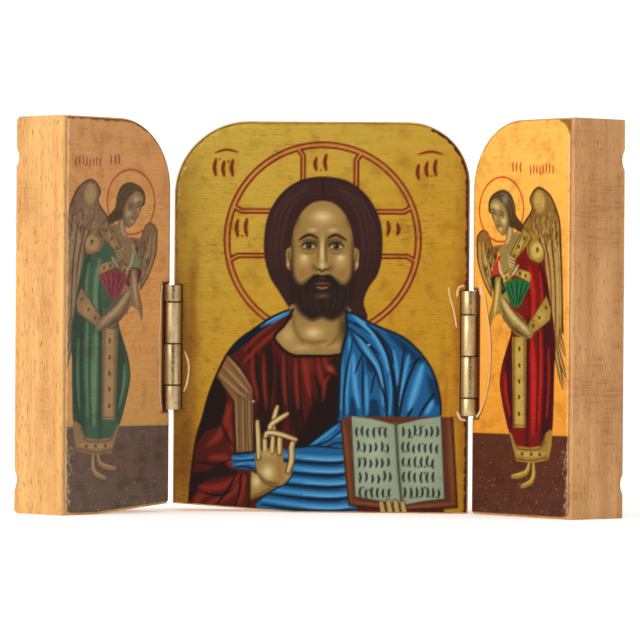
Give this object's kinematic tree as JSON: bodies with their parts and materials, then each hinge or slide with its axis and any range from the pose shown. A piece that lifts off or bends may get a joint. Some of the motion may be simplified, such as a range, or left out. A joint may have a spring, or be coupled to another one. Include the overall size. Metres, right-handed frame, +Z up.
{
  "type": "triptych altarpiece",
  "caption": "Small standing triptych of beech blocks with printed pictures, its two arched wings hinged to fold shut over the centre panel.",
  "frame": {"origin": "middle of the centre block's underside, on the surface that the triptych stands on", "axes": "+Z up, -Y towards the viewer (the pictures face -Y), +X to the viewer's right"},
  "size_m": [0.144, 0.0433, 0.094],
  "materials": {
    "beech": "bare, finely sanded, with short dark ray flecks",
    "printed_paper": "colour-printed paper under satin varnish",
    "brass": "satin, lightly tarnished"
  },
  "bodies": {
    "centre": {"centre_block": "beech", "centre_picture": "printed_paper", "left_hinge_centre_leaf": "brass", "left_hinge_pin": "brass", "right_hinge_centre_leaf": "brass", "right_hinge_pin": "brass"},
    "left_wing_body": {"left_wing": "beech", "left_picture": "printed_paper", "left_hinge_wing_leaf": "brass"},
    "right_wing_body": {"right_wing": "beech", "right_picture": "printed_paper", "right_hinge_wing_leaf": "brass"}
  },
  "joints": [
    {"name": "left_wing_hinge", "type": "hinge", "parent": "centre", "child": "left_wing_body", "pos_m": [-0.03565, -0.00935, 0], "axis": [0, 0, 1], "range_deg": [-49, 131]},
    {"name": "right_wing_hinge", "type": "hinge", "parent": "centre", "child": "right_wing_body", "pos_m": [0.03565, -0.00935, 0], "axis": [0, 0, -1], "range_deg": [-49, 131]}
  ]
}
